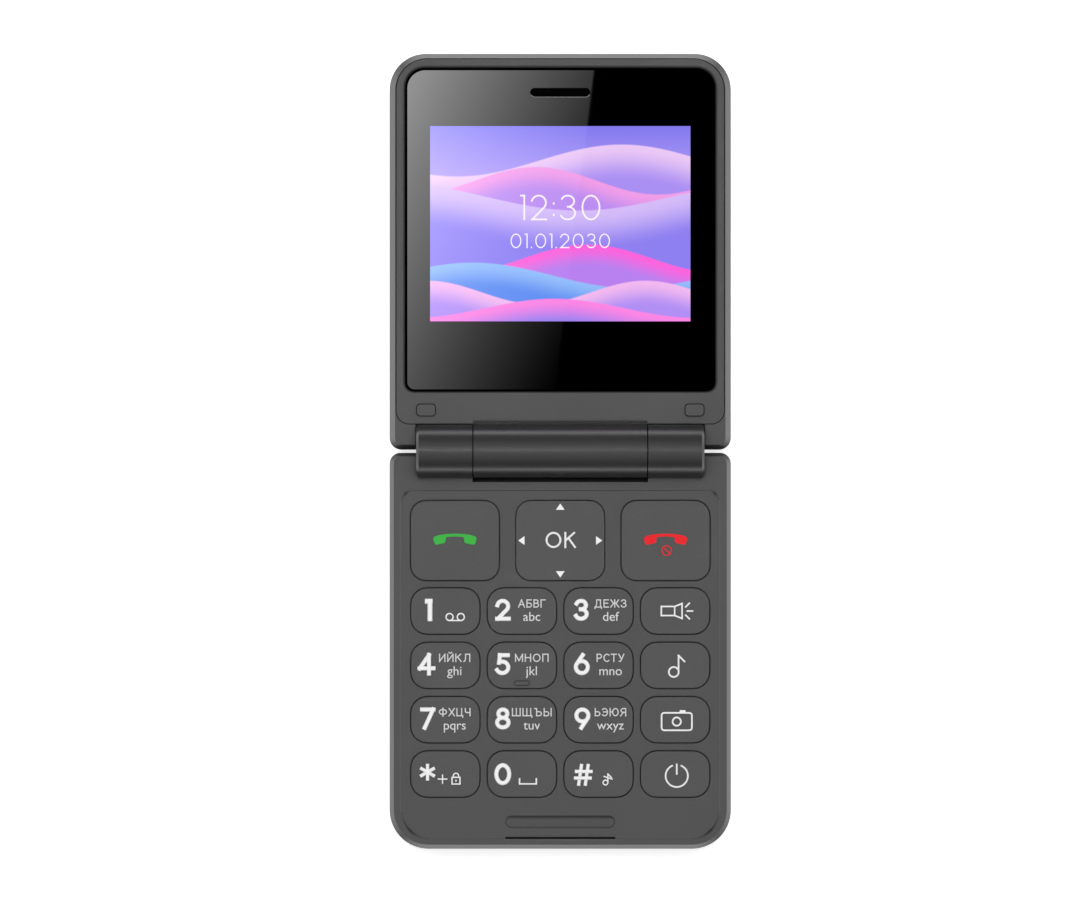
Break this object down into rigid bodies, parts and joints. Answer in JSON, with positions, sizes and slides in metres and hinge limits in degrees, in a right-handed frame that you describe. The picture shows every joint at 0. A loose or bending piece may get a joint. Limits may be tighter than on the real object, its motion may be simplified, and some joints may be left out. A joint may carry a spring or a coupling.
{
  "type": "clamshell mobile phone",
  "caption": "Folding mobile phone, open flat: lid with display and earpiece, hinge barrel, base with large keypad, navigation key and sliding battery cover.",
  "frame": {"origin": "on the surface that the phone lies on, under the hinge line, midway across the phone", "axes": "+X to the right of the keypad, +Y from the hinge to the earpiece, +Z out of the front face"},
  "size_m": [0.0642, 0.1496, 0.016],
  "materials": {
    "housing": "fine moulded grain, satin",
    "key_plastic": "fine moulded grain, satin",
    "lens": "polished, printed black behind",
    "display": "lit display",
    "window": "clear",
    "tray": "white moulded",
    "board": "solder mask",
    "steel": "stamped",
    "cell": "satin can",
    "silicone": "moulded",
    "mesh": "woven",
    "bumper": "moulded",
    "magnet": "sintered",
    "capsule": "black"
  },
  "bodies": {
    "base": {"base_front_frame": "housing", "base_rear_shell": "housing", "battery": "cell", "battery_contacts": "mesh", "sim_sockets": "steel", "main_board": "board", "dome_sheet": "steel", "keypad_mat": "silicone", "shield_can": "steel", "usb_socket": "steel", "loudspeaker": "capsule", "vibration_motor": "steel", "microphone": "steel", "base_screws": "steel", "hinge_shaft": "steel", "hinge_bush": "steel"},
    "lid": {"lid_rear_shell": "housing", "lid_front_frame": "housing", "hinge_centre_knuckle": "housing", "hinge_cartridge": "steel", "display_lens": "lens", "lcd_panel": "display", "lcd_backlight": "tray", "lid_board": "board", "earpiece": "capsule", "earpiece_mesh": "mesh", "lid_bumpers": "bumper", "lid_screws": "steel", "camera_module": "capsule", "camera_window": "window", "torch_lamp": "window", "lid_magnet": "magnet"},
    "battery_cover": {"battery_cover": "housing"},
    "vibration_weight": {"vibration_weight": "steel"},
    "send_key": {"send_key": "key_plastic"},
    "end_key": {"end_key": "key_plastic"},
    "key_1": {"key_1": "key_plastic"},
    "key_2": {"key_2": "key_plastic"},
    "key_3": {"key_3": "key_plastic"},
    "key_4": {"key_4": "key_plastic"},
    "key_5": {"key_5": "key_plastic"},
    "key_6": {"key_6": "key_plastic"},
    "key_7": {"key_7": "key_plastic"},
    "key_8": {"key_8": "key_plastic"},
    "key_9": {"key_9": "key_plastic"},
    "key_star": {"key_star": "key_plastic"},
    "key_0": {"key_0": "key_plastic"},
    "key_hash": {"key_hash": "key_plastic"},
    "torch_key": {"torch_key": "key_plastic"},
    "music_key": {"music_key": "key_plastic"},
    "camera_key": {"camera_key": "key_plastic"},
    "power_key": {"power_key": "key_plastic"},
    "nav_nub": {"nav_nub": "silicone"},
    "nav_pad": {"nav_pad": "silicone"},
    "nav_key": {"nav_key": "key_plastic"}
  },
  "joints": [
    {"name": "lid_hinge", "type": "hinge", "parent": "base", "child": "lid", "pos_m": [0, 0, 0.011], "axis": [1, 0, 0], "range_deg": [0, 180]},
    {"name": "battery_cover_slide", "type": "slide", "parent": "base", "child": "battery_cover", "axis": [0, -1, 0], "range_m": [0, 0.012]},
    {"name": "vibration_spin", "type": "hinge", "parent": "base", "child": "vibration_weight", "pos_m": [0.0216, -0.01413, 0.0032], "axis": [1, 0, 0], "continuous": true},
    {"name": "send_key_press", "type": "slide", "parent": "base", "child": "send_key", "axis": [0, 0, -1], "range_m": [0, 0.00035], "stiffness_N_per_m": 150, "springref_m": -0.0004},
    {"name": "end_key_press", "type": "slide", "parent": "base", "child": "end_key", "axis": [0, 0, -1], "range_m": [0, 0.00035], "stiffness_N_per_m": 150, "springref_m": -0.0004},
    {"name": "key_1_press", "type": "slide", "parent": "base", "child": "key_1", "axis": [0, 0, -1], "range_m": [0, 0.00035], "stiffness_N_per_m": 150, "springref_m": -0.0004},
    {"name": "key_2_press", "type": "slide", "parent": "base", "child": "key_2", "axis": [0, 0, -1], "range_m": [0, 0.00035], "stiffness_N_per_m": 150, "springref_m": -0.0004},
    {"name": "key_3_press", "type": "slide", "parent": "base", "child": "key_3", "axis": [0, 0, -1], "range_m": [0, 0.00035], "stiffness_N_per_m": 150, "springref_m": -0.0004},
    {"name": "key_4_press", "type": "slide", "parent": "base", "child": "key_4", "axis": [0, 0, -1], "range_m": [0, 0.00035], "stiffness_N_per_m": 150, "springref_m": -0.0004},
    {"name": "key_5_press", "type": "slide", "parent": "base", "child": "key_5", "axis": [0, 0, -1], "range_m": [0, 0.00035], "stiffness_N_per_m": 150, "springref_m": -0.0004},
    {"name": "key_6_press", "type": "slide", "parent": "base", "child": "key_6", "axis": [0, 0, -1], "range_m": [0, 0.00035], "stiffness_N_per_m": 150, "springref_m": -0.0004},
    {"name": "key_7_press", "type": "slide", "parent": "base", "child": "key_7", "axis": [0, 0, -1], "range_m": [0, 0.00035], "stiffness_N_per_m": 150, "springref_m": -0.0004},
    {"name": "key_8_press", "type": "slide", "parent": "base", "child": "key_8", "axis": [0, 0, -1], "range_m": [0, 0.00035], "stiffness_N_per_m": 150, "springref_m": -0.0004},
    {"name": "key_9_press", "type": "slide", "parent": "base", "child": "key_9", "axis": [0, 0, -1], "range_m": [0, 0.00035], "stiffness_N_per_m": 150, "springref_m": -0.0004},
    {"name": "key_star_press", "type": "slide", "parent": "base", "child": "key_star", "axis": [0, 0, -1], "range_m": [0, 0.00035], "stiffness_N_per_m": 150, "springref_m": -0.0004},
    {"name": "key_0_press", "type": "slide", "parent": "base", "child": "key_0", "axis": [0, 0, -1], "range_m": [0, 0.00035], "stiffness_N_per_m": 150, "springref_m": -0.0004},
    {"name": "key_hash_press", "type": "slide", "parent": "base", "child": "key_hash", "axis": [0, 0, -1], "range_m": [0, 0.00035], "stiffness_N_per_m": 150, "springref_m": -0.0004},
    {"name": "torch_key_press", "type": "slide", "parent": "base", "child": "torch_key", "axis": [0, 0, -1], "range_m": [0, 0.00035], "stiffness_N_per_m": 150, "springref_m": -0.0004},
    {"name": "music_key_press", "type": "slide", "parent": "base", "child": "music_key", "axis": [0, 0, -1], "range_m": [0, 0.00035], "stiffness_N_per_m": 150, "springref_m": -0.0004},
    {"name": "camera_key_press", "type": "slide", "parent": "base", "child": "camera_key", "axis": [0, 0, -1], "range_m": [0, 0.00035], "stiffness_N_per_m": 150, "springref_m": -0.0004},
    {"name": "power_key_press", "type": "slide", "parent": "base", "child": "power_key", "axis": [0, 0, -1], "range_m": [0, 0.00035], "stiffness_N_per_m": 150, "springref_m": -0.0004},
    {"name": "nav_press", "type": "slide", "parent": "base", "child": "nav_nub", "axis": [0, 0, -1], "range_m": [0, 0.00035], "stiffness_N_per_m": 150, "springref_m": -0.0004},
    {"name": "nav_up_down", "type": "hinge", "parent": "nav_nub", "child": "nav_pad", "pos_m": [0, -0.01678, 0.00855], "axis": [1, 0, 0], "range_deg": [-2, 2], "stiffness_Nm_per_rad": 0.002},
    {"name": "nav_left_right", "type": "hinge", "parent": "nav_pad", "child": "nav_key", "pos_m": [0, -0.01678, 0.00855], "axis": [0, 1, 0], "range_deg": [-2, 2], "stiffness_Nm_per_rad": 0.002}
  ]
}
